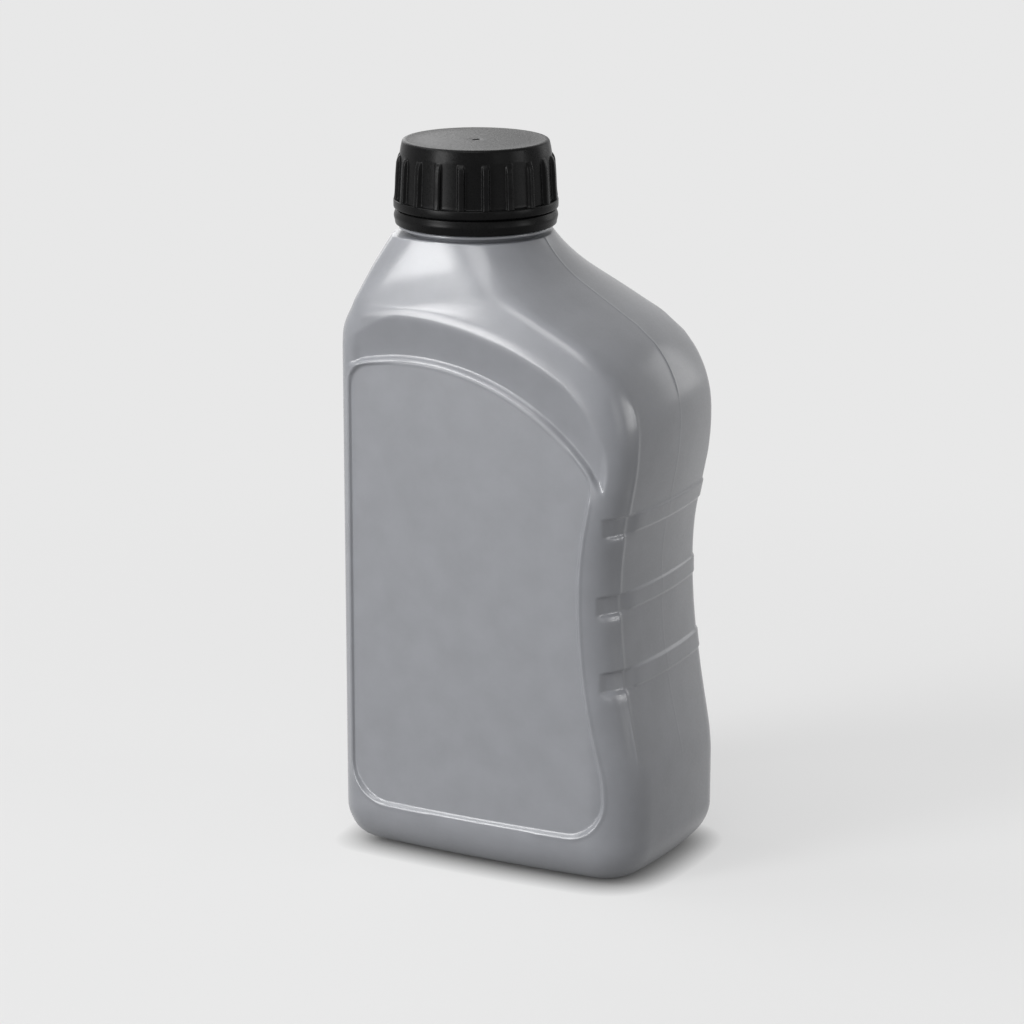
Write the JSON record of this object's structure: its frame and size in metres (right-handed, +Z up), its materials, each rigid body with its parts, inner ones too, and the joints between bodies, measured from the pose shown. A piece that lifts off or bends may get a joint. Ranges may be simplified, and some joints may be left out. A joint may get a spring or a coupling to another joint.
{
  "type": "brake fluid bottle",
  "caption": "Tall rectangular plastic bottle with a waisted grip side, sunk arched label panels, an offset neck and a ribbed screw cap over a tamper ring.",
  "frame": {"origin": "middle of the footprint at the level the bottle stands on", "axes": "+Z up; +X towards the grip side, away from the neck; -Y the side seen as the front, with a matching label panel on +Y"},
  "size_m": [0.1052, 0.0702, 0.2192],
  "materials": {
    "bottle_plastic": "satin mid grey, faintly blue, opaque, blow-moulded",
    "cap_plastic": "satin black, injection-moulded",
    "liner_foam": "white closed-cell foam",
    "foil": "bright aluminium foil, heat-sealed",
    "fluid": "clear pale amber liquid, shown as a closed solid"
  },
  "bodies": {
    "flask": {"bottle": "bottle_plastic", "brake_fluid": "fluid", "foil_seal": "foil", "tamper_band": "cap_plastic"},
    "lifter": {"cap_liner": "liner_foam"},
    "closure": {"cap": "cap_plastic"}
  },
  "joints": [
    {"name": "cap_lift", "type": "slide", "parent": "flask", "child": "lifter", "axis": [0, 0, 1], "range_m": [0, 0.024]},
    {"name": "cap_turn", "type": "hinge", "parent": "lifter", "child": "closure", "pos_m": [-0.0193, 0, 0.2], "axis": [0, 0, 1], "range_deg": [0, 2160]}
  ],
  "couplings": [
    {"joint": "cap_turn", "follows": "cap_lift", "rad_per_m": 1570.8}
  ]
}
